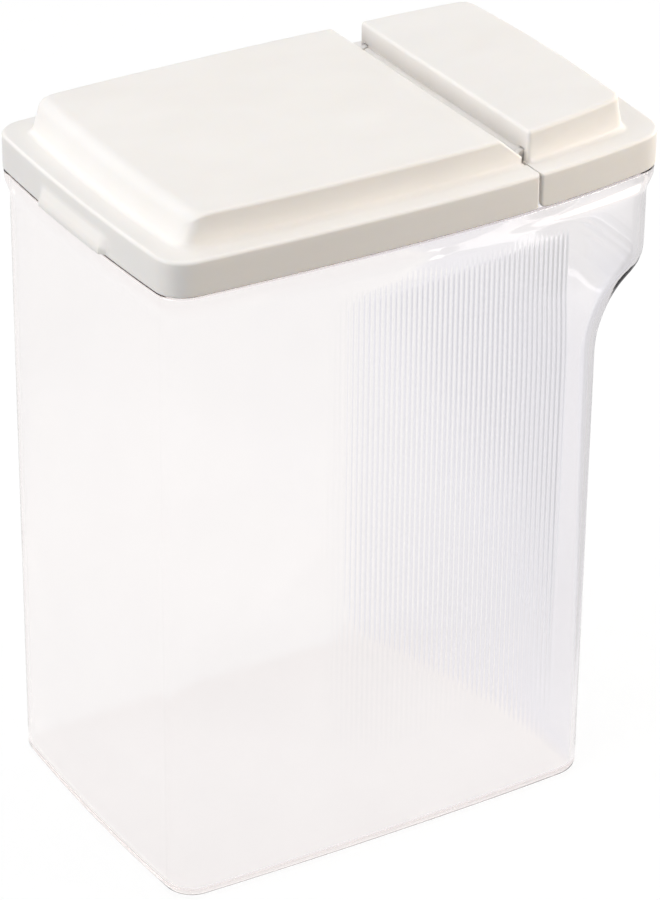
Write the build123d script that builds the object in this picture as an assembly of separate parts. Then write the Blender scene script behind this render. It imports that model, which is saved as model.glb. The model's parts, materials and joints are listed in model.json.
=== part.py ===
from build123d import *

import math
import os

# Food canister: clear tub with a leaning pour spout, lift-off lid, and a flip-up hatch over the spout.
# Millimetres. X runs along the length with the spout at +X, Y across, Z up.
# The origin is the centre of the whole object's footprint, on the surface it stands on.

# Plan of the lid
LID_REAR = -111.8
LID_FRONT = 114.5
LID_HALF = 72.3
LID_REAR_CORNER = 12.0
LID_FRONT_CORNER = 15.0
LID_FRONT_DRAW = 11.5
LID_REAR_DRAW = 3.0
END_BOW = 1.8

# Plan of the tub
TUB_MID = -12.5
TUB_REAR = -110.0
TUB_FRONT = 85.0
TUB_HALF = 70.6
TUB_CORNER = 13.0
TUB_DRAW = 2.2
SPOUT_DRAW = 10.4
FRONT_POWER = 2.6
TUB_DRAFT = 0.4
WALL = 1.8
FLOOR = 2.4
BASE_ROUND = 4.0

# Side profile of the spout
SPOUT_REACH = 26.5
SPOUT_START = 191.0
SPOUT_END = 229.5
SPOUT_HOLLOW = 32.0
SPOUT_BELLY = 9.0
SPOUT_LEAN = 60.0

# Heights
COLLAR_START = 252.0
COLLAR_EDGE = 261.0
COLLAR_TOP = 262.6
RIM_TOP = 274.5
SKIRT_BOTTOM = 263.2
LEDGE_BOTTOM = 275.7
LEDGE_TOP = 277.7
PLATEAU_TOP = 290.9
HATCH_TOP_REAR = 291.2
HATCH_TOP_FRONT = 293.5

# Lid and hatch
SKIRT = 1.6
RIM_INSET = 2.0
RIM = 1.5
LEDGE = 10.0
FRONT_LEDGE = 14.0
PLATEAU_WALL = 2.0
PLATEAU_CORNER = 6.0
REAR_SLOPE = 5.0
FRONT_SLOPE = 3.5
PARTING = 48.0
PARTING_GAP = 0.6
VALLEY_TOP = 35.3
VALLEY_FOOT = 47.7

# Hinge
HINGE_X = 48.5
HINGE_Z = 279.2
BARREL_R = 2.6
TROUGH_R = 3.1
TROUGH_HALF = 61.0
BARREL_HALF = 54.1
LUG_GAP = 0.4
LUG_THICK = 2.5
LUG_R = 2.9
PIN_R = 1.25
PIN_CLEARANCE = 0.05
WEB_HALF = 65.5
WEB_TOP_HALF = 59.5
SHELF_FRONT = 57.0
HATCH_WALL = 1.8

# Seals
SEAL_LOW = 274.7
SEAL_OUTER = 1.8
SEAL_INNER = 5.2
SEAL_STRIP_REAR = 52.2
SEAL_STRIP_WIDE = 3.5

# Lift tab
TAB_HALF = 26.0
TAB_REACH = 114.5

SIDE_STEPS = 8
CORNER_STEPS = 3
FAR = 400.0


def half_width(x, half, rear_draw, front_draw, reach):
    """Half width at x: widest at the tub's middle, drawn in towards both ends."""
    if x < TUB_MID:
        return half - rear_draw * ((TUB_MID - x) / 97.5) ** 2
    return half - front_draw * ((x - TUB_MID) / reach) ** FRONT_POWER


def side_angle(x, half, rear_draw, front_draw, reach):
    """Direction of the side wall at x, as an angle from the X axis."""
    step = 0.01
    rise = half_width(x + step, half, rear_draw, front_draw, reach)
    rise -= half_width(x, half, rear_draw, front_draw, reach)
    return math.atan(rise / step)


def plan_points(rear, front, half, rear_draw, front_draw, corners, inset):
    """Closed outline of bowed sides joined by round corners, moved inwards by inset."""
    rear_corner, front_corner = corners
    shape = (half, rear_draw, front_draw, front - TUB_MID)
    first = rear + rear_corner * (1 - math.sin(side_angle(rear + rear_corner, *shape)))
    last = front - front_corner * (1 + math.sin(side_angle(front - front_corner, *shape)))
    side = []
    for i in range(SIDE_STEPS + 1):
        share = i / SIDE_STEPS
        x = first + (last - first) * share
        along = side_angle(x, *shape)
        radius = rear_corner + (front_corner - rear_corner) * share
        core = (x + radius * math.sin(along), half_width(x, *shape) - radius * math.cos(along))
        side.append((core, math.pi / 2 + along, radius))
    middle = [offset_point(core, angle, radius - inset) for core, angle, radius in side]
    front_end = end_points(side[-1], front_corner - inset, 1)
    rear_end = end_points(side[0], rear_corner - inset, -1)
    upper = list(reversed(rear_end)) + middle + front_end
    lower = [(x, -y) for x, y in reversed(upper)]
    return upper[:-1] + lower[:-1]


def offset_point(core, angle, radius):
    return (core[0] + radius * math.cos(angle), core[1] + radius * math.sin(angle))


def end_points(side_end, radius, sign):
    """Corner arc from a side's end round to the end wall, then the end wall's bow up to the centre line."""
    core, angle, _ = side_end
    lean = 2 * END_BOW / core[1]
    target = lean if sign > 0 else math.pi - lean
    points = []
    for i in range(1, CORNER_STEPS + 1):
        turn = angle + (target - angle) * i / CORNER_STEPS
        points.append(offset_point(core, turn, radius))
    edge_x, edge_y = points[-1]
    for share in (0.66, 0.33, 0.0):
        points.append((edge_x + sign * END_BOW * (1 - share * share), edge_y * share))
    return points


def face_at(points, z):
    """Flat face at height z inside a smooth closed curve through the points."""
    edge = Spline([(x, y, z) for x, y in points], periodic=True)
    return Face(Wire([edge]))


def lid_face(inset, z):
    points = plan_points(
        LID_REAR + END_BOW, LID_FRONT - END_BOW, LID_HALF, LID_REAR_DRAW, LID_FRONT_DRAW,
        (LID_REAR_CORNER, LID_FRONT_CORNER), inset)
    return face_at(points, z)


def plateau_face(inset, slope, z):
    """Plan of the plateau: the lid's plan less the ledge, with its own smaller corners."""
    corner = PLATEAU_CORNER
    points = plan_points(
        LID_REAR + END_BOW + LEDGE + slope * REAR_SLOPE,
        LID_FRONT - END_BOW - FRONT_LEDGE - slope * FRONT_SLOPE,
        LID_HALF - LEDGE, LID_REAR_DRAW, LID_FRONT_DRAW * 0.8, (corner, corner), inset)
    return face_at(points, z)


def tub_face(z, inset):
    """Plan of the tub's wall at height z, with the spout's reach at that height."""
    reach = spout_reach(z, inset)
    share = max(0.0, min(1.0, (reach + inset) / SPOUT_REACH))
    draft = TUB_DRAFT * max(0.0, 1 - z / SPOUT_START)
    draw = TUB_DRAW + (SPOUT_DRAW - TUB_DRAW) * share
    corner = TUB_CORNER + (LID_FRONT_CORNER - TUB_CORNER) * share
    points = plan_points(
        TUB_REAR + END_BOW, TUB_FRONT + reach + inset - END_BOW, TUB_HALF, TUB_DRAW, draw,
        (TUB_CORNER, corner), inset + draft)
    return face_at(points, z)


def spout_reach(z, inset):
    """How far the spout's front wall, or a wall inset from it, stands in front of the tub's front wall."""
    lean = math.radians(SPOUT_LEAN)
    hollow = SPOUT_HOLLOW + inset
    belly = SPOUT_BELLY - inset
    low_z = SPOUT_START + hollow * math.sin(lean)
    low_x = SPOUT_HOLLOW - hollow * math.cos(lean)
    high_z = SPOUT_END - belly * math.sin(lean)
    high_x = SPOUT_REACH - SPOUT_BELLY + belly * math.cos(lean)
    if z <= SPOUT_START:
        return -inset
    if z < low_z:
        return SPOUT_HOLLOW - math.sqrt(hollow ** 2 - (z - SPOUT_START) ** 2)
    if z < high_z:
        return low_x + (high_x - low_x) * (z - low_z) / (high_z - low_z)
    if z < SPOUT_END:
        return SPOUT_REACH - SPOUT_BELLY + math.sqrt(belly ** 2 - (SPOUT_END - z) ** 2)
    return SPOUT_REACH - inset


def spout_levels():
    """Heights of the sections that carry the spout's curve."""
    lean = math.radians(SPOUT_LEAN)
    low_z = SPOUT_START + SPOUT_HOLLOW * math.sin(lean)
    lower = [SPOUT_START + (low_z - SPOUT_START) * i / 5 for i in range(6)]
    high_z = SPOUT_END - SPOUT_BELLY * math.sin(lean)
    upper = [high_z + (SPOUT_END - high_z) * i / 4 for i in range(5)]
    return lower + upper


def prism(face, top):
    return extrude(face, amount=top - face.center().Z, dir=(0, 0, 1))


def slab(x0, x1, y0, y1, z0, z1):
    """Box between two corners."""
    box = Box(x1 - x0, y1 - y0, z1 - z0)
    return Pos((x0 + x1) / 2, (y0 + y1) / 2, (z0 + z1) / 2) * box


def side_profile(points, half):
    """Solid with the given X-Z profile, running from -half to half across the object."""
    face = Face(Wire.make_polygon([(x, -half, z) for x, z in points], close=True))
    return extrude(face, amount=2 * half, dir=(0, 1, 0))


def rod(x, z, radius, y0, y1):
    """Cylinder along Y."""
    bar = Cylinder(radius, y1 - y0, rotation=(90, 0, 0))
    return Pos(x, (y0 + y1) / 2, z) * bar


def container_body():
    """Tub: floor, bowed walls, leaning spout, collar and thin rim."""
    levels = [0.0] + spout_levels() + [COLLAR_START]
    outer = loft([tub_face(z, 0.0) for z in levels], ruled=True)
    outer = fillet(outer.faces().sort_by(Axis.Z)[0].edges(), BASE_ROUND)
    inner = loft([tub_face(z, WALL) for z in [FLOOR] + levels[1:]], ruled=True)
    inner = fillet(inner.faces().sort_by(Axis.Z)[0].edges(), BASE_ROUND - 1.0)
    mouth = loft([tub_face(COLLAR_START, WALL), lid_face(RIM_INSET + RIM, COLLAR_EDGE)], ruled=True)
    collar = loft([tub_face(COLLAR_START, 0.0), lid_face(0.3, COLLAR_EDGE)], ruled=True)
    collar += prism(lid_face(0.3, COLLAR_EDGE), COLLAR_TOP)
    rim = prism(lid_face(RIM_INSET, COLLAR_TOP), RIM_TOP)
    rim_hole = prism(lid_face(RIM_INSET + RIM, COLLAR_EDGE), RIM_TOP)
    return outer + collar + rim - inner - mouth - rim_hole


def lid_block():
    """Lid and hatch together as one filled block: skirt and ledge only."""
    return prism(lid_face(0.0, SKIRT_BOTTOM), LEDGE_TOP)


def plateau_block(top, inset):
    """Filled plateau from the ledge up, with its sloped back and front."""
    low = LEDGE_BOTTOM - 1.0 if inset else LEDGE_TOP - 0.5
    return loft([plateau_face(inset, 0.0, low), plateau_face(inset, 1.0, top)], ruled=True)


def lid_region(back):
    """Everything behind the parting line: the slope above the hinge and the slit below it."""
    return side_profile(
        [(-FAR, 200), (PARTING - PARTING_GAP / 2 - back, 200), (VALLEY_FOOT - back, HINGE_Z + 0.8),
         (VALLEY_TOP - back, PLATEAU_TOP), (VALLEY_TOP - back, 320), (-FAR, 320)], 100)


def lid_cover():
    """Fixed lid: skirt, ledge, plateau with a sloped front face, hinge web, shelf and lugs, lift tab."""
    block = (lid_block() + plateau_block(PLATEAU_TOP, 0.0)) & lid_region(0.0)
    under = prism(lid_face(SKIRT, SKIRT_BOTTOM - 1), LEDGE_BOTTOM)
    hollow = plateau_block(PLATEAU_TOP - PLATEAU_WALL, PLATEAU_WALL) & lid_region(PLATEAU_WALL * 1.45)
    cover = block - under - hollow
    web_rear = HINGE_X - TROUGH_R - 2
    web_front = HINGE_X - TROUGH_R
    web = slab(web_rear, web_front, -WEB_HALF, WEB_HALF, RIM_TOP - 2, LEDGE_BOTTOM + 0.5)
    web += slab(web_rear, web_front, -WEB_TOP_HALF, WEB_TOP_HALF, RIM_TOP, HINGE_Z + 1)
    web += slab(web_rear, SHELF_FRONT, -WEB_HALF, WEB_HALF, RIM_TOP - 2, RIM_TOP)
    cover = cover + web
    cover -= rod(HINGE_X, HINGE_Z, TROUGH_R, -TROUGH_HALF, TROUGH_HALF)
    for side in (-1, 1):
        cover += hinge_lug(side)
    return cover + lift_tab()


def hinge_lug(side):
    """Upright lug on the shelf with a hole for the hatch's stub pin."""
    low = side * (BARREL_HALF + LUG_GAP)
    high = side * (BARREL_HALF + LUG_GAP + LUG_THICK)
    y0, y1 = min(low, high), max(low, high)
    lug = rod(HINGE_X, HINGE_Z, LUG_R, y0, y1)
    lug += slab(HINGE_X - LUG_R, HINGE_X + LUG_R, y0, y1, RIM_TOP - 1, HINGE_Z)
    return lug - rod(HINGE_X, HINGE_Z, PIN_R + PIN_CLEARANCE, y0 - 1, y1 + 1)


def lift_tab():
    """Wedge-shaped finger tab on the skirt at the back end."""
    profile = [(-110.6, 271.5), (-112.6, 270.2), (-TAB_REACH, 266.6), (-TAB_REACH, 264.4), (-110.6, 264.4)]
    tab = side_profile(profile, TAB_HALF)
    return fillet(tab.edges().filter_by(Axis.Z).group_by(Axis.X)[0], 1.0)


def hatch_block(inset):
    """Filled hatch top: its roof rises a little towards the front."""
    rear_z = HATCH_TOP_REAR - inset
    front_z = HATCH_TOP_FRONT - inset
    block = plateau_block(HATCH_TOP_FRONT + 4, inset)
    roof = side_profile([(PARTING - 20, 200), (LID_FRONT, 200), (LID_FRONT - 15, front_z),
                         (PARTING, rear_z), (PARTING - 20, rear_z)], 100)
    return block & roof


def hatch_flap():
    """Flip-up hatch: skirt, ledge, raised roof, back wall, hinge barrel and stub pins."""
    rear = PARTING + PARTING_GAP / 2
    front_part = slab(rear, FAR, -100, 100, 200, 320)
    block = (lid_block() + hatch_block(0.0)) & front_part
    under = prism(lid_face(SKIRT, SKIRT_BOTTOM - 1), LEDGE_BOTTOM)
    inside = slab(rear + HATCH_WALL, FAR, -100, 100, 200, 320)
    hollow = hatch_block(PLATEAU_WALL) & inside
    flap = block - under - hollow
    flap += slab(rear + 1, SHELF_FRONT, -58.4, 58.4, LEDGE_BOTTOM, LEDGE_TOP)
    flap += rod(HINGE_X, HINGE_Z, BARREL_R, -BARREL_HALF, BARREL_HALF)
    room = LUG_GAP + LUG_THICK + LUG_GAP
    for side in (-1, 1):
        low, high = sorted((side * BARREL_HALF, side * (BARREL_HALF + room)))
        flap -= slab(rear - 4, HINGE_X + LUG_R + 0.6, low, high, LEDGE_BOTTOM - 1, HINGE_Z + LUG_R + 0.6)
        pin_low, pin_high = sorted((side * (BARREL_HALF - 1), side * (BARREL_HALF + LUG_GAP + LUG_THICK)))
        flap += rod(HINGE_X, HINGE_Z, PIN_R, pin_low, pin_high)
    return flap


def seal_ring(top=LEDGE_BOTTOM):
    """Strip that follows the rim all round."""
    return prism(lid_face(SEAL_OUTER, SEAL_LOW), top) - prism(lid_face(SEAL_INNER, SEAL_LOW - 1), top + 1)


def lid_seal():
    """U-shaped gasket under the lid's ledge, behind the hinge web."""
    return seal_ring() & slab(-FAR, HINGE_X - TROUGH_R - 2.3, -100, 100, 200, 320)


def hatch_seal():
    """Closed gasket under the hatch: round the rim, and across on the shelf."""
    rear = SEAL_STRIP_REAR
    ring = seal_ring() & slab(rear, FAR, -100, 100, 200, 320)
    strip = prism(lid_face(SEAL_OUTER + 1, SEAL_LOW), LEDGE_BOTTOM)
    strip = strip & slab(rear, rear + SEAL_STRIP_WIDE, -100, 100, 200, 320)
    return ring + strip


def write(shape, name):
    solids = shape.solids()
    print(name, "solids", len(solids), "volume", round(shape.volume, 1))
    export_step(shape, f"parts/{name}.step")


os.makedirs("parts", exist_ok=True)
write(container_body(), "container_body")
write(lid_cover(), "lid_cover")
write(lid_seal(), "lid_seal")
write(hatch_flap(), "hatch_flap")
write(hatch_seal(), "hatch_seal")
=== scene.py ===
import json
import math

import bmesh
import bpy
import numpy as np
from mathutils import Matrix, Vector


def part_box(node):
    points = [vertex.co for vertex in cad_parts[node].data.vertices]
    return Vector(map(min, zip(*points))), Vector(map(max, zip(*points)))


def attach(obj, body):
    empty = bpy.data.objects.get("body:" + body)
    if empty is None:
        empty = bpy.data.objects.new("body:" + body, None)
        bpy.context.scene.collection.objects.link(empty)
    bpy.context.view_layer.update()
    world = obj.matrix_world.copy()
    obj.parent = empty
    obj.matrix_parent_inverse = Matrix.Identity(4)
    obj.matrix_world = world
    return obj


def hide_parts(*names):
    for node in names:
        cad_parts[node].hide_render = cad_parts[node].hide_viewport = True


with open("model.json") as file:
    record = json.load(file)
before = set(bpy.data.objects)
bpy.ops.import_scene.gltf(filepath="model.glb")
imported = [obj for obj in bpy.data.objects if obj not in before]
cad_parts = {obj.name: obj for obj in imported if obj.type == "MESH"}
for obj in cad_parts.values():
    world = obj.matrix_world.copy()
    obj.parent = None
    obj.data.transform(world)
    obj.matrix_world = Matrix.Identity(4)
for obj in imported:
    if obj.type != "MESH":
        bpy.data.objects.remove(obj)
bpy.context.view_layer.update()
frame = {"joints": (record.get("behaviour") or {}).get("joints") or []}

# A clear food canister with an off-white lid and a flip-up hatch over its pour spout.
# The mouldings are lofted from rings: outlines seen from above, stacked along a profile.
# Sizes are in millimetres until a mesh is made, unless a comment says metres.
MM = 0.001
WHITE = (1.0, 1.0, 1.0)
# Points closer than this are joined, in metres
WELD = 1e-6


def node_box(node):
    """Lowest and highest corner of a CAD node, in millimetres."""
    low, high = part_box(node)
    return [c / MM for c in low], [c / MM for c in high]


_, TUB_HIGH = node_box("container_body")
LID_LOW, LID_HIGH = node_box("lid_cover")
_, HATCH_HIGH = node_box("hatch_flap")
LID_SEAL_LOW, LID_SEAL_HIGH = node_box("lid_seal")
HATCH_SEAL_LOW, HATCH_SEAL_HIGH = node_box("hatch_seal")
HINGE = next(joint for joint in frame["joints"] if joint["name"] == "hatch_hinge")
HINGE_X, HINGE_Z = (HINGE["pos_m"][axis] / MM for axis in (0, 2))

# Lid and hatch
TAB_OUT = 2.7
TAB_HALF = 26.0
TAB_SIDE = 2.5
END_BOW = 1.8
LID_REAR = LID_LOW[0] + TAB_OUT
LID_FRONT = HATCH_HIGH[0] + 0.1
LID_HALF = LID_HIGH[1]
LID_DRAWS = (3.0, 11.5)
LID_CORNERS = (12.0, 15.0)
SKIRT_BOTTOM = LID_LOW[2]
SKIRT = 1.6
LEDGE_BOTTOM = SKIRT_BOTTOM + 12.5
LEDGE_TOP = LEDGE_BOTTOM + 2.0
LEDGE_ROUND = 1.4
PLATEAU_TOP = LID_HIGH[2]
LEDGE = 10.0
FRONT_LEDGE = 14.0
PLATEAU_WALL = 2.0
PLATEAU_CORNER = 6.0
PLATEAU_ROOT = 2.2
PLATEAU_ROOT_REACH = 2.6
PLATEAU_SHOULDER = 1.5
REAR_SHOULDER = 5.0
REAR_SLOPE = 5.0
FRONT_SLOPE = 3.5
CROWN = 0.5
HATCH_TOP_REAR = PLATEAU_TOP + 0.3
HATCH_RISE = 2.3 / 51.5

# Heights above the skirt's bottom: of its rings, and of the finger tab's profile with its outward push
SKIRT_RISES = (1.215, 1.8, 3.4, 5.2, 7.0, 7.8, 8.6, 10.2)
TAB_PROFILE = ((1.2, 0.0), (1.21, TAB_OUT - 0.05), (3.4, TAB_OUT - 0.05), (7.0, 0.8), (8.6, 0.0))

# Parting line and hinge; the mouth room is cut out of both mouldings beside the parting line
PARTING_GAP = 0.6
MOUTH_ROOM_HALF = 69.0
MOUTH_ROOM_LOW = 250.0
LID_END = HINGE_X - 0.5 - PARTING_GAP / 2
HATCH_END = LID_END + PARTING_GAP
PARTING_CORNER = 1.4
PARTING_STEP = 0.5
VALLEY_TOP = HINGE_X - 13.2
VALLEY_FOOT_Z = HINGE_Z + 0.8
BARREL_R = 2.6
TROUGH_R = 3.1
TROUGH_HALF = 61.0
BARREL_HALF = 54.1
LUG_GAP = 0.4
LUG_THICK = 2.5
LUG_R = 2.9
PIN_R = 1.25
PIN_HOLE_R = 1.3
WEB_HALF = 65.5
WEB_REAR = HINGE_X - TROUGH_R - 2
WEB_FACES = (WEB_REAR + 0.1, WEB_REAR + 2.4)
SHELF_FRONT = 57.0
SHELF_THICK = 2.0
FLANGE_RISE = 0.4

# Seals: insets of their outer and inner sides, and the room left above them
SEAL_OUTER = 1.85
SEAL_INNER = 5.15
SEAL_ROOM = 0.02

# Tub
TUB_MID = -12.5
REAR_REACH = 97.5
TUB_REAR = TUB_MID - REAR_REACH
TUB_FRONT = TUB_MID + REAR_REACH
TUB_HALF = 70.6
TUB_CORNER = 13.0
TUB_DRAW = 2.2
SPOUT_DRAW = 10.4
FRONT_POWER = 2.6
TUB_DRAFT = 0.4
WALL = 1.8
FLOOR = 2.4
BASE_ROUND = 4.0
COLLAR_START = 252.0
COLLAR_EDGE = 261.0
COLLAR_TOP = 262.6
COLLAR_INSET = 0.3
RIM_TOP = TUB_HIGH[2]
RIM_INSET = 2.0
RIM = 1.5

# Side profile of the spout
SPOUT_REACH = 26.5
SPOUT_START = 191.0
SPOUT_END = 229.5
SPOUT_HOLLOW = 32.0
SPOUT_BELLY = 9.0
SPOUT_LEAN = math.radians(60)

# Ribs on the tub's near long side
RIB_PITCH = 2.3
RIB_COUNT = 48
RIB_DEPTH = 0.4
RIB_STEPS = 6
RIB_FRONT = 64.0
RIB_REAR = RIB_FRONT - RIB_COUNT * RIB_PITCH
RIB_TOP = 249.0
RIB_BOTTOM_REAR = 95.0
RIB_BOTTOM_FRONT = 30.0
RIB_FADE = 25.0
RIB_REAR_FADE = 8 * RIB_PITCH

# Painted shade in the grooves between the ribs: fades at their ends, and the band of Y that is the near wall
GROOVE_REAR_FADE = 18.0
GROOVE_FRONT_FADE = 1.0
GROOVE_TOP_FADE = 3.0
NEAR_WALL_Y = (-62.0, -60.0)

# Refraction of the clear walls and of their foot, the height over which one turns into the other,
# absorption per metre, and refraction of the lid and the seals
CLEAR_IOR = 1.49
FOOT_IOR = 1.08
FOOT_BLEND = 5.0
ABSORPTION = 29.0
LID_IOR = 1.49
SILICONE_IOR = 1.41

# Camera: angles in degrees, lens and sensor in millimetres, place in metres
CAMERA_AZIMUTH = -31.36
CAMERA_ELEVATION = 29.11
CAMERA_ROLL = 0.60
CAMERA_LENS = 162.64
CAMERA_SENSOR = 36
CAMERA_PLACE = (-0.7326, -1.2022, 0.9235)

# Floor and the grey card beside the spout end, in metres; GLOW is how strongly each gives light
FLOOR_SIZE = 12.0
FLOOR_GLOW = 0.9
STAGE_LIFT = 0.0004
CARD_NEAR = 0.135
CARD_WIDTH = 0.55
CARD_LENGTH = 0.9
CARD_ONWARD = 0.25
CARD_FADE = 0.05
CARD_EDGE_GLOW = 1.02
CARD_GLOW = 0.8

# Softboxes: name, place and side length in metres, power in watts, colour
SOFTBOX_AIM = (0, 0, 0.2)
SOFTBOXES = (
    ("softbox_top", (0.15, 0.1, 1.9), 1.8, 19, WHITE),
    ("softbox_upper_rear", (-1.2, 0.1, 1.5), 1.0, 4, WHITE),
    ("softbox_rear_end", (-1.85, -0.4, 0.65), 1.4, 28, WHITE),
    ("softbox_near", (1.4, -1.05, 0.5), 1.0, 27, (1.0, 0.92, 0.82)),
    ("softbox_far", (-0.8, 1.9, 1.7), 1.6, 12, WHITE),
    ("softbox_spout_end", (2.0, 0.2, 0.7), 1.4, 12, WHITE),
)
LIGHT_BOUNCES = 20


# ------------------------------------------------------------ outlines and profiles
class Plan:
    """Outline of a moulding seen from above: bowed sides, round corners, bowed or straight ends."""

    def __init__(self, half, draws, corners, bows, reach, stations, corner_steps=10, end_steps=12):
        self.half, self.draws, self.corners, self.bows, self.reach = half, draws, corners, bows, reach
        self.stations, self.corner_steps, self.end_steps = stations, corner_steps, end_steps

    def width(self, x):
        """Half width at x: widest at the tub's middle, drawn in towards both ends."""
        behind = np.clip(TUB_MID - x, 0, None) / REAR_REACH
        ahead = np.clip(x - TUB_MID, 0, None) / self.reach
        return self.half - self.draws[0] * behind ** 2 - self.draws[1] * ahead ** FRONT_POWER

    def slant(self, x):
        """Direction of the side wall at x, as an angle from the X axis."""
        step = 0.01
        return np.arctan((self.width(x + step) - self.width(x)) / step)

    def half_outline(self, inset, rear, front):
        """Points and outward directions from the rear centre round to the front centre.

        rear and front are where the end walls stand at their corners.
        """
        radii = [max(corner - inset, 0.15) for corner in self.corners]
        first = rear + radii[0] - (inset + radii[0]) * math.sin(self.slant(rear + radii[0]))
        last = front - radii[1] - (inset + radii[1]) * math.sin(self.slant(front - radii[1]))
        x = self.stations(first, last)
        slant = self.slant(x)
        side = np.c_[x + inset * np.sin(slant), self.width(x) - inset * np.cos(slant)]
        angles = math.pi / 2 + slant
        rear_points, rear_angles = self.end(side[0], angles[0], radii[0], -1)
        front_points, front_angles = self.end(side[-1], angles[-1], radii[1], 1)
        points = np.concatenate([rear_points[::-1], side, front_points])
        return points, np.concatenate([rear_angles[::-1], angles, front_angles])

    def end(self, edge, angle, radius, sign):
        """Corner arc from a side's end, then the end wall's bow up to the centre line."""
        bow = self.bows[0] if sign < 0 else self.bows[1]
        core = edge - radius * np.array((math.cos(angle), math.sin(angle)))
        lean = 2 * bow / core[1]
        target = lean if sign > 0 else math.pi - lean
        turn = angle + (target - angle) * np.arange(1, self.corner_steps + 1) / self.corner_steps
        corner = core + radius * np.c_[np.cos(turn), np.sin(turn)]
        share = 1 - np.arange(1, self.end_steps + 1) / self.end_steps
        wall = np.c_[corner[-1][0] + sign * bow * (1 - share ** 2), corner[-1][1] * share]
        wall_angles = lean * share if sign > 0 else math.pi - lean * share
        return np.concatenate([corner, wall]), np.concatenate([turn, wall_angles])


def even_stations(count):
    """Evenly spaced stations along a side, as a function of where the side starts and ends."""
    return lambda first, last: np.linspace(first, last, count)


def ribbed_stations(first, last):
    """Stations close enough together between RIB_REAR and RIB_FRONT to carry the ribs."""
    ribs = np.linspace(RIB_REAR, RIB_FRONT, RIB_COUNT * RIB_STEPS + 1)
    behind = np.linspace(first, RIB_REAR, 10, endpoint=False)
    ahead = np.linspace(RIB_FRONT, last, 9)[1:]
    return np.concatenate([behind, ribs, ahead])


def whole_ring(points, z):
    """Closed ring from a half outline and the heights of its points."""
    upper = np.c_[points, np.broadcast_to(z, len(points))]
    lower = upper[-2:0:-1] * (1, -1, 1)
    return np.concatenate([upper, lower])


def cap(ring, rise, spine, steps=7, height=None):
    """Rings that close the space inside a ring with a gentle crown, ending on a line along X.

    height gives the surface's height at x before the crown; without it the surface is level.
    """
    level = height or (lambda x: np.full(len(x), ring[0, 2]))
    target = np.clip(ring[:, 0], *spine)
    rings = []
    for k in range(1, steps + 1):
        share = k / steps
        x = ring[:, 0] * (1 - share) + target * share
        z = level(x) + rise * (1 - (1 - share) ** 2)
        rings.append(np.c_[x, ring[:, 1] * (1 - share), z])
    return rings


def rounded(corners, steps=5):
    """Profile through (inset, height, radius) corners, with an arc wherever there is a radius."""
    profile = []
    for i, (inset, height, radius) in enumerate(corners):
        if radius == 0:
            profile.append((inset, height))
            continue
        here = np.array((inset, height))
        before = np.array(corners[i - 1][:2]) - here
        after = np.array(corners[i + 1][:2]) - here
        before /= np.linalg.norm(before)
        after /= np.linalg.norm(after)
        half = math.acos(np.dot(before, after)) / 2
        middle = before + after
        centre = here + middle / np.linalg.norm(middle) * radius / math.sin(half)
        start = here + before * radius / math.tan(half) - centre
        finish = here + after * radius / math.tan(half) - centre
        low = math.atan2(start[1], start[0])
        sweep = (math.atan2(finish[1], finish[0]) - low + math.pi) % (2 * math.pi) - math.pi
        for k in range(steps + 1):
            turn = low + sweep * k / steps
            profile.append((centre[0] + radius * math.cos(turn), centre[1] + radius * math.sin(turn)))
    return profile


# ------------------------------------------------------------ meshes
def weld(mesh):
    """Joins points that coincide and points all faces outwards."""
    work = bmesh.new()
    work.from_mesh(mesh)
    bmesh.ops.remove_doubles(work, verts=work.verts, dist=WELD)
    bmesh.ops.dissolve_degenerate(work, edges=work.edges, dist=WELD)
    bmesh.ops.recalc_face_normals(work, faces=work.faces)
    for face in work.faces:
        face.smooth = True
    work.to_mesh(mesh)
    work.free()


def mesh_object(name, points, faces):
    """Closed smooth-shaded mesh object from points in millimetres."""
    mesh = bpy.data.meshes.new(name)
    mesh.from_pydata([tuple(p * MM) for p in points], [], faces)
    weld(mesh)
    thing = bpy.data.objects.new(name, mesh)
    bpy.context.scene.collection.objects.link(thing)
    return thing


def loft(name, rings, closed=False):
    """Skin over a stack of rings; a closed stack joins its last ring to its first."""
    count = len(rings[0])
    pairs = [(i, i + 1) for i in range(len(rings) - 1)]
    if closed:
        pairs.append((len(rings) - 1, 0))
    faces = []
    for a, b in pairs:
        for k in range(count):
            after = (k + 1) % count
            faces.append((a * count + k, a * count + after, b * count + after, b * count + k))
    return mesh_object(name, np.concatenate(rings), faces)


def block(name, low, high, round_edge=0.0):
    """Box between two corners with softened edges."""
    work = bmesh.new()
    bmesh.ops.create_cube(work, size=1.0)
    size = [b - a for a, b in zip(low, high)]
    for vert in work.verts:
        vert.co = Vector([(a + s * (c + 0.5)) * MM for a, s, c in zip(low, size, vert.co)])
    if round_edge:
        bmesh.ops.bevel(work, geom=work.edges[:], offset=round_edge * MM, segments=3, profile=0.5,
                        affect="EDGES")
    mesh = bpy.data.meshes.new(name)
    work.to_mesh(mesh)
    work.free()
    thing = bpy.data.objects.new(name, mesh)
    bpy.context.scene.collection.objects.link(thing)
    return thing


def rod(name, x, z, radius, y0, y1, round_edge=0.0, steps=48):
    """Round bar along Y with softened ends."""
    profile = [(0.0, y0), (radius, y0), (radius, y1), (0.0, y1)]
    if round_edge:
        profile = rounded([(0.0, y0, 0), (radius, y0, round_edge), (radius, y1, round_edge), (0.0, y1, 0)])
    turns = np.linspace(0, 2 * math.pi, steps, endpoint=False)
    rings = [np.c_[x + r * np.cos(turns), np.full(steps, y), z + r * np.sin(turns)] for r, y in profile]
    return loft(name, rings)


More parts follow.
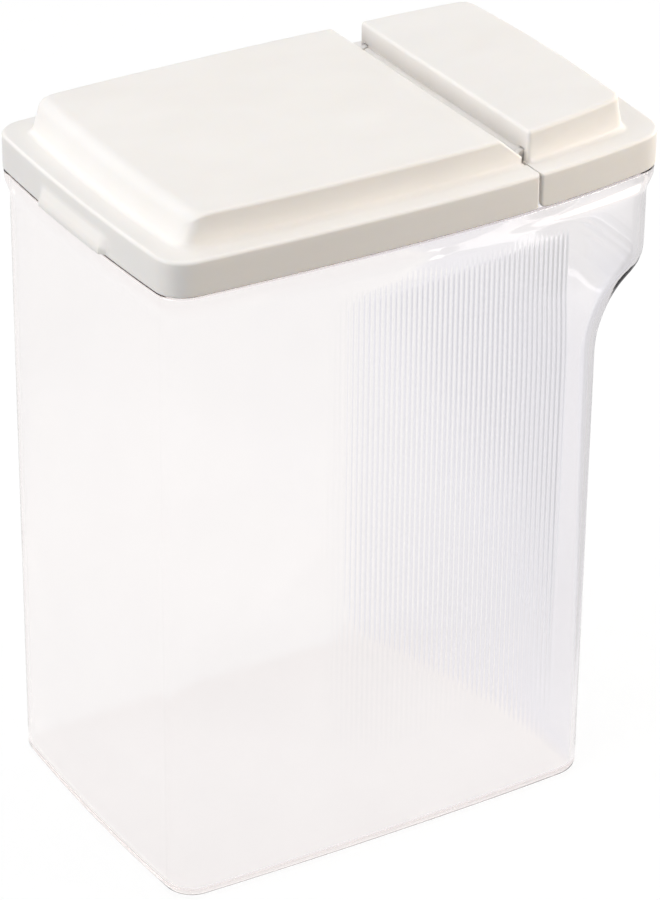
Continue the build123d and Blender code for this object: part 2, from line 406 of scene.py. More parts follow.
def combine(thing, other, operation):
    """Boolean of two closed meshes, applied to the first; the second is used up."""
    modifier = thing.modifiers.new(operation, "BOOLEAN")
    modifier.operation = operation
    modifier.solver = "EXACT"
    modifier.object = other
    graph = bpy.context.evaluated_depsgraph_get()
    made = bpy.data.meshes.new_from_object(thing.evaluated_get(graph))
    thing.modifiers.clear()
    thing.data = made
    bpy.data.objects.remove(other)
    weld(made)
    return thing


def crisp(thing, degrees=38):
    """Smooth shading that breaks at edges sharper than the given angle."""
    thing.data.shade_smooth()
    thing.data.set_sharp_from_angle(angle=math.radians(degrees))
    return thing


# ------------------------------------------------------------ tub
def spout_reach(z, inset):
    """How far the spout's front wall, or a wall inset from it, stands in front of the tub's front wall."""
    hollow = SPOUT_HOLLOW + inset
    belly = SPOUT_BELLY - inset
    low_z = SPOUT_START + hollow * math.sin(SPOUT_LEAN)
    low_x = SPOUT_HOLLOW - hollow * math.cos(SPOUT_LEAN)
    high_z = SPOUT_END - belly * math.sin(SPOUT_LEAN)
    high_x = SPOUT_REACH - SPOUT_BELLY + belly * math.cos(SPOUT_LEAN)
    if z <= SPOUT_START:
        return -inset
    if z < low_z:
        return SPOUT_HOLLOW - math.sqrt(hollow ** 2 - (z - SPOUT_START) ** 2)
    if z < high_z:
        return low_x + (high_x - low_x) * (z - low_z) / (high_z - low_z)
    if z < SPOUT_END:
        return SPOUT_REACH - SPOUT_BELLY + math.sqrt(belly ** 2 - (SPOUT_END - z) ** 2)
    return SPOUT_REACH - inset


def rib_depth(x, z):
    """Depth of the grooves between the ribs at a place on the side wall, fading out at their edges."""
    phase = 2 * math.pi * (x - RIB_REAR) / RIB_PITCH
    along = np.clip((x - RIB_REAR) / RIB_REAR_FADE, 0, 1) * np.clip((RIB_FRONT - x) / RIB_PITCH, 0, 1)
    bottom = np.interp(x, [RIB_REAR, RIB_FRONT], [RIB_BOTTOM_REAR, RIB_BOTTOM_FRONT])
    upward = np.clip((z - bottom) / RIB_FADE, 0, 1) * min(max((RIB_TOP - z) / 4, 0), 1)
    return RIB_DEPTH * along * upward * (0.5 - 0.5 * np.cos(phase))


def tub_ring(z, wall, extra=0.0, ribs=False):
    """Outline of the tub's wall at a height; wall is its depth behind the outer face."""
    reach = spout_reach(z, wall)
    share = max(0.0, min(1.0, (reach + wall) / SPOUT_REACH))
    inset = wall + extra + TUB_DRAFT * max(0.0, 1 - z / SPOUT_START)
    draws = (TUB_DRAW, TUB_DRAW + (SPOUT_DRAW - TUB_DRAW) * share)
    corners = (TUB_CORNER, TUB_CORNER + (LID_CORNERS[1] - TUB_CORNER) * share)
    outline_front = TUB_FRONT + reach + wall - END_BOW
    plan = Plan(TUB_HALF, draws, corners, (END_BOW, END_BOW), outline_front - TUB_MID, ribbed_stations)
    points, _ = plan.half_outline(inset, TUB_REAR + END_BOW + inset, outline_front - inset)
    ring = whole_ring(points, z)
    if ribs:
        near_side = ring[:, 1] < TUB_CORNER - TUB_HALF
        ring[:, 1] += np.where(near_side, rib_depth(ring[:, 0], z), 0.0)
    return ring


def lid_plan(stations, corners=LID_CORNERS, bows=(END_BOW, END_BOW), **steps):
    """Outline of the lid's skirt, which the rim, the hatch's skirt and the seals follow too."""
    return Plan(LID_HALF, LID_DRAWS, corners, bows, LID_FRONT - END_BOW - TUB_MID, stations, **steps)


def rim_ring(inset, z):
    """Outline of the collar and rim, which follow the lid's plan."""
    plan = lid_plan(ribbed_stations)
    points, _ = plan.half_outline(inset, LID_REAR + END_BOW + inset, LID_FRONT - END_BOW - inset)
    return whole_ring(points, z)


def wall_levels():
    """Heights of the wall's rings, closer together over the spout's curve."""
    lower = np.linspace(BASE_ROUND, SPOUT_START, 14)
    spout = np.linspace(SPOUT_START, SPOUT_END, 20)[1:]
    upper = np.linspace(SPOUT_END, COLLAR_START, 9)[1:]
    return np.concatenate([lower, spout, upper])


def collar_rings():
    """Outside of the collar, the rim, and down its inside."""
    profile = rounded([
        (COLLAR_INSET, COLLAR_START + 5, 0), (COLLAR_INSET, COLLAR_TOP, 0.5), (RIM_INSET, COLLAR_TOP, 0.4),
        (RIM_INSET, RIM_TOP, 0.6), (RIM_INSET + RIM, RIM_TOP, 0.6), (RIM_INSET + RIM, COLLAR_EDGE, 0)], 4)
    return [rim_ring(inset, z) for inset, z in profile[1:]]


def flare(lower, upper, steps=7):
    """Rings that swell from the wall's outline to the collar's in a smooth S."""
    rings = []
    for k in range(1, steps):
        share = k / steps
        ease = share * share * (3 - 2 * share)
        ring = lower * (1 - ease) + upper * ease
        ring[:, 2] = lower[0, 2] + (upper[0, 2] - lower[0, 2]) * share
        rings.append(ring)
    return rings


def build_container():
    """Clear tub: base, ribbed walls, leaning spout, collar and rim, then the inside down to the floor."""
    levels = wall_levels()
    spine = (TUB_REAR + 60, TUB_FRONT - 60)
    base = [tub_ring(z, 0.0, inset) for inset, z in rounded(
        [(BASE_ROUND + 1, 0.0, 0), (0.0, 0.0, BASE_ROUND), (0.0, BASE_ROUND + 1, 0)], 7)[1:-1]]
    outside = base + [tub_ring(z, 0.0, ribs=True) for z in levels[1:]]
    collar = collar_rings()
    outside += flare(outside[-1], rim_ring(COLLAR_INSET, COLLAR_EDGE - 0.5))
    inside = [tub_ring(z, WALL) for z in levels[::-1] if z > FLOOR + BASE_ROUND]
    inside_fillet = [tub_ring(z, WALL, inset) for inset, z in rounded(
        [(0.0, FLOOR + BASE_ROUND, 0), (0.0, FLOOR, BASE_ROUND - 1), (BASE_ROUND, FLOOR, 0)], 6)[1:-1]]
    mouth = flare(collar[-1], inside[0])
    bottom = cap(base[0], 0.5, spine, 5)[::-1]
    floor = cap(inside_fillet[-1], 0.0, spine, 5)
    return loft("container_shell", bottom + outside + collar + mouth + inside + inside_fillet + floor)


# ------------------------------------------------------------ lid and hatch
def facing_rear(angles):
    """How far each point of an outline faces the rear, from 0 to 1."""
    return np.clip(-np.cos(angles), 0, 1) ** 2


def valley_x(z):
    """Where the plateau's sloping front face stands at a height."""
    run = (LID_END - VALLEY_TOP) / (PLATEAU_TOP - VALLEY_FOOT_Z)
    return LID_END - max(0.0, z - VALLEY_FOOT_Z) * run


def plateau_share(z):
    """Share of the way up the plateau's sloping ends."""
    return (z - LEDGE_TOP + 0.5) / (PLATEAU_TOP - LEDGE_TOP + 0.5)


def plateau_plan(stations, corners, bows, **steps):
    """Outline of the raised roof, which stands in from the skirt by the ledge."""
    reach = LID_FRONT - END_BOW - FRONT_LEDGE - TUB_MID
    draws = (LID_DRAWS[0], LID_DRAWS[1] * 0.8)
    return Plan(LID_HALF - LEDGE, draws, corners, bows, reach, stations, **steps)


LID_STEPS = dict(corner_steps=10, end_steps=30)
LID_STATION_COUNT = 40
lid_stations = even_stations(LID_STATION_COUNT)
LID_SKIRT_PLAN = lid_plan(lid_stations, (LID_CORNERS[0], PARTING_CORNER), (END_BOW, 0.0), **LID_STEPS)
LID_PLATEAU_PLAN = plateau_plan(lid_stations, (PLATEAU_CORNER, PARTING_CORNER), (END_BOW, 0.0),
                                **LID_STEPS)
hatch_stations = even_stations(24)
HATCH_SKIRT_PLAN = lid_plan(hatch_stations, (PARTING_CORNER, LID_CORNERS[1]), (0.0, END_BOW), **LID_STEPS)
HATCH_PLATEAU_PLAN = plateau_plan(hatch_stations, (PARTING_CORNER, PLATEAU_CORNER), (0.0, END_BOW),
                                  **LID_STEPS)


def tab_push(points, z):
    """Outward push of the finger tab at the middle of the skirt's rear."""
    heights, pushes = zip(*TAB_PROFILE)
    rise = np.interp(z, SKIRT_BOTTOM + np.array(heights), pushes)
    across = np.clip((TAB_HALF - np.abs(points[:, 1])) / TAB_SIDE, 0, 1)
    ease = across * across * (3 - 2 * across)
    return np.where(points[:, 0] < LID_REAR + 8, rise * ease, 0.0)


def skirt_levels():
    """Profile of the skirt from its inside top, round its lower edge and up to the ledge."""
    lower = rounded([(SKIRT, LEDGE_BOTTOM, 0), (SKIRT, SKIRT_BOTTOM, 0.5), (0.0, SKIRT_BOTTOM, 0.7),
                     (0.0, SKIRT_BOTTOM + 1.2, 0)], 4)
    middle = [(0.0, SKIRT_BOTTOM + rise) for rise in SKIRT_RISES]
    upper = rounded([(0.0, SKIRT_BOTTOM + 11, 0), (0.0, LEDGE_TOP, LEDGE_ROUND),
                     (LEDGE - 4.5, LEDGE_TOP, 0)], 6)
    return lower + middle + upper


def is_inside(inset, z):
    """Whether a place on the skirt's profile is on its inner side."""
    return inset > SKIRT * 0.75 and z < LEDGE_BOTTOM + 0.5


def parting_step(inset, z):
    """How far an outer ring stands back from the parting line, so that the edges there are softened."""
    return inset if z < LEDGE_BOTTOM else 0.08 * inset


def lid_skirt_rings():
    """Skirt of the lid, from its inside top round the lower edge to the ledge, with the finger tab."""
    rings = []
    for inset, z in skirt_levels():
        front = LID_END - parting_step(inset, z)
        if is_inside(inset, z):
            front = WEB_REAR + PARTING_STEP
        points, _ = LID_SKIRT_PLAN.half_outline(inset, LID_REAR + END_BOW + inset, front)
        points[:, 0] -= tab_push(points, z) if inset < 0.01 else 0.0
        rings.append(whole_ring(points, z))
    return rings


def lid_hollow_ring(inset, z, front):
    """Outline of the lid's hollow at a height; front is where its front wall stands."""
    rear = LID_REAR + END_BOW + LEDGE + plateau_share(z) * REAR_SLOPE + inset
    points, _ = LID_PLATEAU_PLAN.half_outline(inset, rear, front)
    return whole_ring(points, z)


def plateau_profile(edge, shoulder, shoulder_reach):
    """Profile of the raised roof's wall: a fillet at its root on the ledge, then up to a rounded shoulder."""
    return rounded([(-PLATEAU_ROOT_REACH, LEDGE_TOP, 0), (0.0, LEDGE_TOP, PLATEAU_ROOT),
                    (0.0, edge, shoulder), (shoulder_reach, edge, 0)], 6)[:-1]


def lid_plateau_rings():
    """Plateau from its root on the ledge up: small fillets at the sides, a soft shoulder at the rear."""
    edge = PLATEAU_TOP - CROWN
    sides = plateau_profile(edge, PLATEAU_SHOULDER, 3.0)
    shoulders = plateau_profile(edge, REAR_SHOULDER, 6.0)
    rings = []
    for (inset, z), (rear_inset, rear_z) in zip(sides, shoulders):
        side_front = valley_x(z) - PARTING_STEP - 0.35 * max(inset, 0.0)
        rear = LID_REAR + END_BOW + LEDGE + plateau_share(rear_z) * REAR_SLOPE + rear_inset
        points, angles = LID_PLATEAU_PLAN.half_outline(inset, rear, side_front)
        rings.append(whole_ring(points, z + (rear_z - z) * facing_rear(angles)))
    return rings


def lid_shell():
    """Lid as one closed skin: hollow inside, skirt, ledge, plateau with its sloping front face."""
    spine = (LID_REAR + 70, VALLEY_TOP - 60)
    ceiling = PLATEAU_TOP - PLATEAU_WALL - CROWN
    inner = [lid_hollow_ring(PLATEAU_WALL, z, min(WEB_REAR, valley_x(z) - 1.45 * PLATEAU_WALL))
             for z in (ceiling, (ceiling + LEDGE_BOTTOM) / 2, LEDGE_BOTTOM)]
    top = lid_plateau_rings()
    return loft("lid_shell", cap(inner[0], CROWN, spine)[::-1] + inner + lid_skirt_rings() + top
                + cap(top[-1], CROWN, spine, 12))


def hinge_lug(side):
    """Upright lug on the shelf, rounded over the pin."""
    y0, y1 = sorted((side * (BARREL_HALF + LUG_GAP), side * (BARREL_HALF + LUG_GAP + LUG_THICK)))
    lug = rod("lug", HINGE_X, HINGE_Z, LUG_R, y0, y1, 0.3)
    foot = block("lug_foot", (HINGE_X - LUG_R, y0, RIM_TOP - 1), (HINGE_X + LUG_R, y1, HINGE_Z), 0.2)
    combine(lug, foot, "UNION")
    return combine(lug, rod("pin_hole", HINGE_X, HINGE_Z, PIN_HOLE_R, y0 - 1, y1 + 1), "DIFFERENCE")


def build_lid():
    """Fixed lid: its skin, with the hinge's trough cut in and the web, shelf and lugs joined on."""
    lid = lid_shell()
    combine(lid, block("mouth_room", (WEB_REAR - 2, -MOUTH_ROOM_HALF, MOUTH_ROOM_LOW),
                       (LID_END + 2, MOUTH_ROOM_HALF, LEDGE_BOTTOM - 1)), "DIFFERENCE")
    web = block("web", (WEB_FACES[0], -WEB_HALF, RIM_TOP - 1), (WEB_FACES[1], WEB_HALF, LEDGE_BOTTOM + 0.6))
    shelf = block("shelf", (WEB_REAR, -WEB_HALF, RIM_TOP - SHELF_THICK), (SHELF_FRONT, WEB_HALF, RIM_TOP),
                  0.4)
    combine(lid, combine(web, shelf, "UNION"), "UNION")
    trough = rod("trough", HINGE_X, HINGE_Z, TROUGH_R, -TROUGH_HALF, TROUGH_HALF)
    combine(lid, trough, "DIFFERENCE")
    for side in (-1, 1):
        combine(lid, hinge_lug(side), "UNION")
    return crisp(lid)


def hatch_height(x):
    """Height of the hatch's roof edge at x: it rises towards the front."""
    return HATCH_TOP_REAR - CROWN + (x - HATCH_END) * HATCH_RISE


def raised(points, z, top):
    """Heights of a plateau ring's points, stretched so that the profile's top meets the rising roof."""
    share = np.clip((z - LEDGE_TOP) / (top - LEDGE_TOP), 0, None)
    return np.where(z > LEDGE_TOP, LEDGE_TOP + share * (hatch_height(points[:, 0]) - LEDGE_TOP), z)


def hatch_skirt_lift(points, z):
    """Rise of the skirt's lower edge into its rounded rear corner."""
    corner = 3.0
    gone = np.clip(corner - (points[:, 0] - HATCH_END), 0, corner)
    rise = corner - np.sqrt(corner ** 2 - gone ** 2)
    return rise * max(0.0, (LEDGE_BOTTOM - z) / (LEDGE_BOTTOM - SKIRT_BOTTOM))


def hatch_skirt_rings():
    """Skirt of the hatch, from its inside top round the lower edge to the ledge."""
    rings = []
    for inset, z in skirt_levels():
        rear = HATCH_END + (SKIRT if is_inside(inset, z) else parting_step(inset, z))
        points, _ = HATCH_SKIRT_PLAN.half_outline(inset, rear, LID_FRONT - END_BOW - inset)
        rings.append(whole_ring(points, z + hatch_skirt_lift(points, z)))
    return rings


def hatch_plateau_points(inset, rear, z):
    """Half outline of the hatch's raised roof or of the hollow in it, at a height."""
    front = LID_FRONT - END_BOW - FRONT_LEDGE - plateau_share(z) * FRONT_SLOPE - inset
    return HATCH_PLATEAU_PLAN.half_outline(inset, rear, front)


def hatch_plateau_rings():
    """Raised roof of the hatch, from its root on the ledge up to its edge."""
    edge = HATCH_TOP_REAR - CROWN
    rings = []
    for inset, z in plateau_profile(edge, PLATEAU_SHOULDER, 3.0):
        points, _ = hatch_plateau_points(inset, HATCH_END + PARTING_STEP + max(inset, 0.0) * 0.8, z)
        rings.append(whole_ring(points, raised(points, z, edge)))
    return rings


def hatch_inner_rings():
    """Hollow under the roof, with the flange along its rear."""
    edge = HATCH_TOP_REAR - CROWN
    wall = HATCH_END + 2.3
    rings = []
    for z, rear in ((edge - PLATEAU_WALL, wall), (LEDGE_TOP + FLANGE_RISE, wall), (LEDGE_TOP, SHELF_FRONT),
                    (LEDGE_BOTTOM, SHELF_FRONT)):
        points, _ = hatch_plateau_points(PLATEAU_WALL, rear, z)
        rings.append(whole_ring(points, raised(points, z, edge)))
    return rings


def hatch_shell():
    """Hatch as one closed skin: hollow inside, skirt, ledge and a roof that rises towards the front."""
    spine = (HATCH_END + 22, LID_FRONT - 38)
    inner = hatch_inner_rings()
    top = hatch_plateau_rings()
    ceiling = cap(inner[0], CROWN, spine, 7, lambda x: hatch_height(x) - PLATEAU_WALL)
    roof = cap(top[-1], CROWN, spine, 12, hatch_height)
    return loft("hatch_shell", ceiling[::-1] + inner + hatch_skirt_rings() + top + roof)


def build_hatch():
    """Flip-up hatch: its skin, opened at the rear for the lid's shelf, with the barrel and stub pins."""
    hatch = hatch_shell()
    combine(hatch, block("shelf_room", (HATCH_END - 2, -MOUTH_ROOM_HALF, MOUTH_ROOM_LOW),
                         (HATCH_END + 2.2, MOUTH_ROOM_HALF, LEDGE_BOTTOM)), "DIFFERENCE")
    combine(hatch, rod("barrel", HINGE_X, HINGE_Z, BARREL_R, -BARREL_HALF, BARREL_HALF, 0.3), "UNION")
    room = LUG_GAP + LUG_THICK + LUG_GAP
    for side in (-1, 1):
        y0, y1 = sorted((side * BARREL_HALF, side * (BARREL_HALF + room)))
        slot = block("lug_slot", (HATCH_END - 4, y0, LEDGE_BOTTOM - 1),
                     (HINGE_X + LUG_R + 0.6, y1, HINGE_Z + LUG_R + 0.6))
        combine(hatch, slot, "DIFFERENCE")
        pin0, pin1 = sorted((side * (BARREL_HALF - 1), side * (BARREL_HALF + LUG_GAP + LUG_THICK)))
        combine(hatch, rod("pin", HINGE_X, HINGE_Z, PIN_R, pin0, pin1, 0.2), "UNION")
    return crisp(hatch)


# ------------------------------------------------------------ seals
def seal_section(low, high):
    """Closed rounded section of a seal between two heights, as (inset, height) points."""
    radius = (high - low) * 0.49
    corners = [(SEAL_OUTER, low), (SEAL_INNER, low), (SEAL_INNER, high), (SEAL_OUTER, high)]
    looped = [(*corners[-1], 0)] + [(*corner, radius) for corner in corners] + [(*corners[0], 0)]
    return rounded(looped)[1:-1]


def build_lid_seal():
    """Gasket under the lid's ledge: a strip round the rim, open at the hinge."""
    section = seal_section(LID_SEAL_LOW[2], LID_SEAL_HIGH[2] - SEAL_ROOM)
    plan = lid_plan(lid_stations, (LID_CORNERS[0], 0.2), (END_BOW, 0.0), corner_steps=10, end_steps=12)
    count = plan.end_steps + plan.corner_steps + LID_STATION_COUNT
    paths = []
    for inset, z in section:
        points, _ = plan.half_outline(inset, LID_REAR + END_BOW + inset, LID_SEAL_HIGH[0])
        half = np.c_[points[:count], np.full(count, z)]
        paths.append(np.concatenate([half[:0:-1], half * (1, -1, 1)]))
    long, around = len(paths[0]), len(paths)
    faces = []
    for a in range(around):
        here, beside = a * long, (a + 1) % around * long
        faces += [(here + k, here + k + 1, beside + k + 1, beside + k) for k in range(long - 1)]
    faces += [tuple(a * long for a in range(around)), tuple(a * long + long - 1 for a in range(around))]
    return crisp(mesh_object("lid_seal_strip", np.concatenate(paths), faces))


def build_hatch_seal():
    """Closed gasket under the hatch: round the rim, and across behind the spout."""
    section = seal_section(HATCH_SEAL_LOW[2], HATCH_SEAL_HIGH[2] - SEAL_ROOM)
    plan = lid_plan(hatch_stations, (3.5, LID_CORNERS[1]), (0.0, END_BOW), **LID_STEPS)
    rings = []
    for inset, z in section:
        rear = HATCH_SEAL_LOW[0] + inset - SEAL_OUTER
        points, _ = plan.half_outline(inset, rear, LID_FRONT - END_BOW - inset)
        rings.append(whole_ring(points, z))
    return crisp(loft("hatch_seal_strip", rings, closed=True))


# ------------------------------------------------------------ materials
class Nodes:
    """Short way of adding and linking shader nodes in one material."""

    def __init__(self, name):
        self.material = bpy.data.materials.new(name)
        self.material.use_nodes = True
        self.tree = self.material.node_tree
        self.shader = self.tree.nodes["Principled BSDF"]
        self.place = self.add("ShaderNodeTexCoord").outputs["Object"]

    def add(self, kind, **settings):
        """New node, with each setting put on the input socket of that name or else on the node itself."""
        node = self.tree.nodes.new(kind)
        for key, value in settings.items():
            if key in node.inputs:
                node.inputs[key].default_value = value
            else:
                setattr(node, key, value)
        return node

    def link(self, output, target):
        self.tree.links.new(output, target)

    def noise(self, scale, detail=3.0, stretch=(1, 1, 1)):
        """Noise in the object's own coordinates; scale is in cells per metre."""
        mapping = self.add("ShaderNodeMapping", Scale=stretch)
        self.link(self.place, mapping.inputs["Vector"])
        noise = self.add("ShaderNodeTexNoise", Scale=scale, Detail=detail)
        self.link(mapping.outputs["Vector"], noise.inputs["Vector"])
        return noise.outputs["Fac"]

    def ramp(self, factor, low, high, start=0.3, end=0.7):
        """Colour that goes from low to high as the factor goes from start to end."""
        ramp = self.add("ShaderNodeValToRGB")
        ramp.color_ramp.elements[0].position = start
        ramp.color_ramp.elements[1].position = end
        ramp.color_ramp.elements[0].color = (*low, 1)
        ramp.color_ramp.elements[1].color = (*high, 1)
        self.link(factor, ramp.inputs["Fac"])
        return ramp.outputs["Color"]

    def product(self, first, second):
        """Product of two numbers."""
        times = self.add("ShaderNodeMath", operation="MULTIPLY")
        self.link(first, times.inputs[0])
        self.link(second, times.inputs[1])
        return times.outputs[0]

    def multiply(self, first, second):
        """Product of two colours."""
        mix = self.add("ShaderNodeMix", data_type="RGBA", blend_type="MULTIPLY")
        mix.inputs[0].default_value = 1.0
        self.link(first, mix.inputs[6])
        self.link(second, mix.inputs[7])
        return mix.outputs[2]

    def between(self, factor, low, high, start=0.0, end=1.0):
        """Number that goes from low to high as the factor goes from start to end."""
        spread = self.add("ShaderNodeMapRange")
        spread.inputs["From Min"].default_value = start
        spread.inputs["From Max"].default_value = end
        spread.inputs["To Min"].default_value = low
        spread.inputs["To Max"].default_value = high
        self.link(factor, spread.inputs["Value"])
        return spread.outputs["Result"]

    def bump(self, height, distance, strength=1.0, under=None):
        """Normal tilted by a height; distance is in metres, and under is a normal to add it to."""
        bump = self.add("ShaderNodeBump", Distance=distance, Strength=strength)
        self.link(height, bump.inputs["Height"])
        if under is not None:
            self.link(under, bump.inputs["Normal"])
        return bump.outputs["Normal"]

    def finish(self, **constants):
        """Sets the shader's constants, with underscores for spaces in their names."""
        for key, value in constants.items():
            self.shader.inputs[key.replace("_", " ")].default_value = value
        return self.material


def lid_plastic():
    """Off-white satin polypropylene: a soft glow, slight flow marks and a fine moulded texture."""
    n = Nodes("lid_plastic_off_white")
    flow = n.noise(22, 2.0, (1.0, 1.6, 1.0))
    n.link(n.ramp(flow, (0.846, 0.815, 0.785), (0.874, 0.846, 0.818)), n.shader.inputs["Base Color"])
    n.link(n.between(n.noise(260, 4.0), 0.36, 0.48), n.shader.inputs["Roughness"])
    broad = n.bump(n.noise(60, 2.0), 0.0002, 0.25)
    n.link(n.bump(n.noise(2600, 2.0), 0.00003, 0.35, broad), n.shader.inputs["Normal"])
    return n.finish(Subsurface_Weight=0.18, Subsurface_Radius=(0.006, 0.0045, 0.003), Subsurface_Scale=1.0,
                    IOR=LID_IOR, Specular_IOR_Level=0.3)


def groove_shade_mask(n, parts):
    """How deep in a groove between ribs a place on the near wall is, from 0 to 1, for the painted shade in
    the grooves; it fades at the ends.
    """
    x, y, z = (parts.outputs[axis] for axis in "XYZ")
    turns = n.between(x, 0.0, 2 * math.pi * RIB_COUNT, RIB_REAR * MM, RIB_FRONT * MM)
    wave = n.add("ShaderNodeMath", operation="COSINE")
    n.link(turns, wave.inputs[0])
    depth = n.between(wave.outputs[0], 1.0, 0.0, -1.0, 1.0)
    along = n.product(n.between(x, 0.0, 1.0, RIB_REAR * MM, (RIB_REAR + GROOVE_REAR_FADE) * MM),
                      n.between(x, 1.0, 0.0, (RIB_FRONT - GROOVE_FRONT_FADE) * MM, RIB_FRONT * MM))
    upward = n.product(n.between(z, 0.0, 1.0, RIB_BOTTOM_FRONT * MM, RIB_BOTTOM_REAR * MM),
                       n.between(z, 1.0, 0.0, (RIB_TOP - GROOVE_TOP_FADE) * MM, RIB_TOP * MM))
    near_wall = n.between(y, 1.0, 0.0, NEAR_WALL_Y[0] * MM, NEAR_WALL_Y[1] * MM)
    return n.product(n.product(depth, along), n.product(upward, near_wall))


def clear_plastic():
    """Clear polished styrene: faintly warm in the mass, slightly wavy, with a painted cool reflection at the
    spout end and painted shade in the rib grooves.

    The foot bends light less than the walls, so that its edge stays pale.
    """
    n = Nodes("clear_plastic_polished")
    parts = n.add("ShaderNodeSeparateXYZ")
    n.link(n.place, parts.inputs["Vector"])
    # Painted cool reflection: the spout end below the lid gets a bluish grey base colour that stands in for
    # the cool surroundings seen in it
    spout_end = n.between(parts.outputs["X"], 0.0, 1.0, (TUB_FRONT - 9) * MM, (TUB_FRONT - 1) * MM)
    below_spout = n.between(parts.outputs["Z"], 1.0, 0.0, (SPOUT_START - 5) * MM, (SPOUT_END + 5) * MM)
    haze = n.ramp(n.noise(14, 3.0), (0.985, 0.985, 0.985), WHITE)
    painted_cool_reflection = n.ramp(n.product(spout_end, below_spout), WHITE, (0.88, 0.89, 0.94), 0.0, 1.0)
    # Painted shade: the base colour turns grey in the grooves between the ribs on the near wall
    grooves = n.ramp(groove_shade_mask(n, parts), WHITE, (0.945, 0.95, 0.957), 0.0, 1.0)
    n.link(n.multiply(n.multiply(haze, painted_cool_reflection), grooves), n.shader.inputs["Base Color"])
    n.link(n.between(n.noise(90, 3.0), 0.02, 0.07), n.shader.inputs["Roughness"])
    bending = n.between(parts.outputs["Z"], FOOT_IOR, CLEAR_IOR, FLOOR * MM, (FLOOR + FOOT_BLEND) * MM)
    n.link(bending, n.shader.inputs["IOR"])
    n.link(n.bump(n.noise(28, 2.0, (1.0, 1.0, 0.35)), 0.0006, 0.2), n.shader.inputs["Normal"])
    mass = n.add("ShaderNodeVolumeAbsorption", Color=(0.6, 0.36, 0.31, 1), Density=ABSORPTION)
    n.link(mass.outputs["Volume"], n.tree.nodes["Material Output"].inputs["Volume"])
    return n.finish(Transmission_Weight=1.0)


def seal_silicone():
    """Translucent white silicone: matte, soft and slightly dusty."""
    n = Nodes("seal_silicone_white")
    n.link(n.ramp(n.noise(300, 4.0), (0.74, 0.74, 0.72), (0.82, 0.82, 0.8)), n.shader.inputs["Base Color"])
    n.link(n.between(n.noise(700, 3.0), 0.5, 0.65), n.shader.inputs["Roughness"])
    n.link(n.bump(n.noise(1800, 3.0), 0.00004, 0.5), n.shader.inputs["Normal"])
    return n.finish(Subsurface_Weight=0.3, Subsurface_Radius=(0.004, 0.004, 0.004), Subsurface_Scale=1.0,
                    IOR=SILICONE_IOR)


def dress(piece, material, node, body):
    """Give a finished piece its material, hide the CAD node it stands in for and attach it to its body."""
    piece.data.materials.clear()
    piece.data.materials.append(material)
    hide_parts(node)
    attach(piece, body)


# ------------------------------------------------------------ stage, lights and camera
def floor_material():
    """Plain white paper whose brightness is mostly its own light, so that it reads as an even white sweep."""
    n = Nodes("stage_paper_white")
    grain = n.ramp(n.noise(120, 3.0), (0.115, 0.115, 0.115), (0.125, 0.125, 0.125))
    n.link(grain, n.shader.inputs["Base Color"])
    return n.finish(Roughness=1.0, Specular_IOR_Level=0.0, Emission_Color=(1, 1, 1, 1),
                    Emission_Strength=FLOOR_GLOW)


def flat_card(name, material, centre, width, length, turn=0.0):
    """Level rectangle that faces up, turned about the vertical."""
    mesh = bpy.data.meshes.new(name)
    w, h = width / 2, length / 2
    mesh.from_pydata([(-w, -h, 0), (w, -h, 0), (w, h, 0), (-w, h, 0)], [], [(0, 1, 2, 3)])
    mesh.materials.append(material)
    card = bpy.data.objects.new(name, mesh)
    card.location = centre
    card.rotation_euler = (0, 0, turn)
    bpy.context.scene.collection.objects.link(card)
    return card


def softbox(name, place, size, power, color):
    """Square area light aimed at the canister."""
    lamp = bpy.data.lights.new(name, "AREA")
    lamp.shape = "RECTANGLE"
    lamp.size = lamp.size_y = size
    lamp.energy = power
    lamp.color = color
    holder = bpy.data.objects.new(name, lamp)
    holder.location = place
    holder.rotation_mode = "QUATERNION"
    holder.rotation_quaternion = (Vector(SOFTBOX_AIM) - Vector(place)).to_track_quat("-Z", "Y")
    bpy.context.scene.collection.objects.link(holder)


def card_material():
    """Grey card that fades to the floor's white at its side by the canister."""
    material = bpy.data.materials.new("stage_card_grey")
    material.use_nodes = True
    tree = material.node_tree
    tree.nodes.clear()
    place = tree.nodes.new("ShaderNodeTexCoord")
    parts = tree.nodes.new("ShaderNodeSeparateXYZ")
    tree.links.new(place.outputs["Object"], parts.inputs["Vector"])
    fade = tree.nodes.new("ShaderNodeMapRange")
    fade.interpolation_type = "SMOOTHSTEP"
    fade.inputs["From Min"].default_value = -CARD_WIDTH / 2
    fade.inputs["From Max"].default_value = -CARD_WIDTH / 2 + CARD_FADE
    fade.inputs["To Min"].default_value = CARD_EDGE_GLOW
    fade.inputs["To Max"].default_value = CARD_GLOW
    tree.links.new(parts.outputs["X"], fade.inputs["Value"])
    light = tree.nodes.new("ShaderNodeEmission")
    light.inputs["Color"].default_value = (0.98, 0.985, 1.0, 1)
    tree.links.new(fade.outputs["Result"], light.inputs["Strength"])
    out = tree.nodes.new("ShaderNodeOutputMaterial")
    tree.links.new(light.outputs["Emission"], out.inputs["Surface"])
    return material


def build_edge_card():
    """Card lying on the floor beside the spout end: it gives the clear walls their grey edges there."""
    azimuth = math.radians(CAMERA_AZIMUTH)
    aside = Vector((math.cos(azimuth), math.sin(azimuth), 0))
    onward = Vector((-math.sin(azimuth), math.cos(azimuth), 0))
    centre = aside * (CARD_NEAR + CARD_WIDTH / 2) + onward * CARD_ONWARD + Vector((0, 0, STAGE_LIFT))
    card = flat_card("stage_card_spout_end", card_material(), centre, CARD_WIDTH, CARD_LENGTH, azimuth)
    card.visible_camera = False
    card.visible_diffuse = False
    card.visible_shadow = False


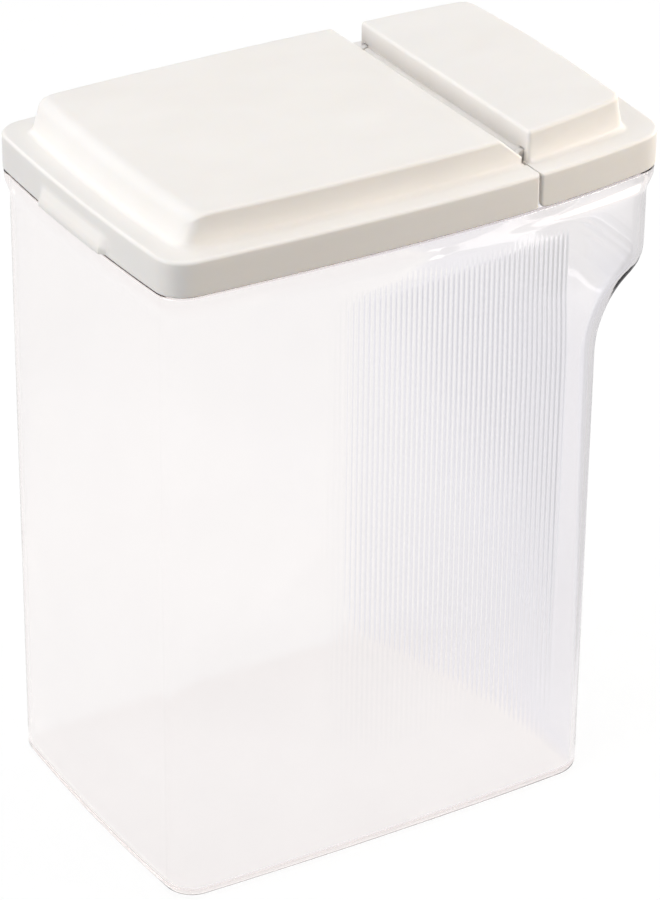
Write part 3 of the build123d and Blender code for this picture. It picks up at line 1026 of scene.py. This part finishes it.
def build_floor():
    """White sweep under the canister; it doesn't light the lid, which the softboxes do."""
    floor = flat_card("stage_floor", floor_material(), (0, 0, -STAGE_LIFT), FLOOR_SIZE, FLOOR_SIZE)
    floor.visible_diffuse = False


def build_lights():
    """White surroundings to see and reflect, and the softboxes that light the lid."""
    world = bpy.data.worlds.new("studio")
    bpy.context.scene.world = world
    world.use_nodes = True
    background = world.node_tree.nodes["Background"]
    background.inputs["Color"].default_value = (1, 1, 1, 1)
    background.inputs["Strength"].default_value = 1.0
    world.cycles_visibility.diffuse = False
    for name, place, size, power, color in SOFTBOXES:
        softbox(name, place, size, power, color)


def build_camera():
    """Long lens from the canister's rear near corner, looking down a little."""
    azimuth, elevation, roll = (math.radians(a) for a in (CAMERA_AZIMUTH, CAMERA_ELEVATION, CAMERA_ROLL))
    back = Vector((math.sin(azimuth) * math.cos(elevation), -math.cos(azimuth) * math.cos(elevation),
                   math.sin(elevation)))
    level = Vector((math.cos(azimuth), math.sin(azimuth), 0))
    upright = back.cross(level)
    right = level * math.cos(roll) + upright * math.sin(roll)
    up = upright * math.cos(roll) - level * math.sin(roll)
    data = bpy.data.cameras.new("camera")
    data.lens = CAMERA_LENS
    data.sensor_width = CAMERA_SENSOR
    camera = bpy.data.objects.new("camera", data)
    turn = Matrix((right, up, back)).transposed().to_4x4()
    camera.matrix_world = Matrix.Translation(CAMERA_PLACE) @ turn
    bpy.context.scene.collection.objects.link(camera)
    bpy.context.scene.camera = camera


clear = clear_plastic()
white = lid_plastic()
silicone = seal_silicone()
dress(build_container(), clear, "container_body", "container")
dress(build_lid(), white, "lid_cover", "lid")
dress(build_lid_seal(), silicone, "lid_seal", "lid")
dress(build_hatch(), white, "hatch_flap", "hatch")
dress(build_hatch_seal(), silicone, "hatch_seal", "hatch")
build_floor()
build_edge_card()
build_lights()
build_camera()
bpy.context.scene.view_settings.view_transform = "Standard"
bpy.context.scene.cycles.max_bounces = LIGHT_BOUNCES
bpy.context.scene.cycles.transmission_bounces = LIGHT_BOUNCES
